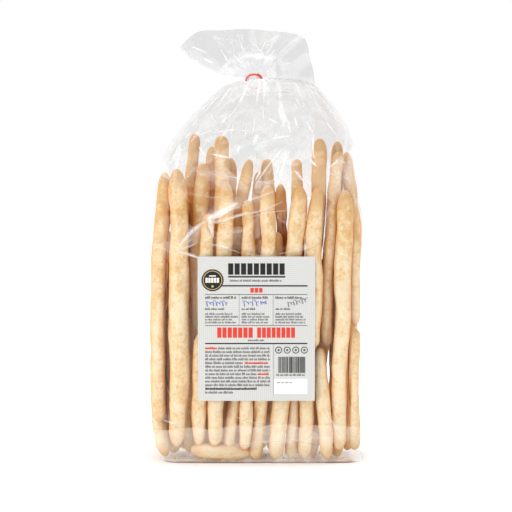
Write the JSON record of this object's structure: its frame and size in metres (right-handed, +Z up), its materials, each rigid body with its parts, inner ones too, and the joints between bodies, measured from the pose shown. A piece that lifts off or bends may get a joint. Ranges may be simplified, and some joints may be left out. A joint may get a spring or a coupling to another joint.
{
  "type": "bag of grissini breadsticks",
  "caption": "Clear tied film bag of long hand-stretched breadsticks, standing on its base, with a paper label on the front.",
  "frame": {"origin": "middle of the flat base, on the surface that the bag stands on", "axes": "+Z up along the sticks, the label faces -Y, +X to the right of someone reading the label"},
  "size_m": [0.1679, 0.0608, 0.3367],
  "materials": {
    "film": "clear glossy crinkled film",
    "bread": "floury baked crust",
    "paper": "uncoated printed paper",
    "tie": "smooth plastic-coated wire"
  },
  "bodies": {
    "root": {"bag": "film", "label": "paper", "tie": "tie"}
  },
  "joints": []
}
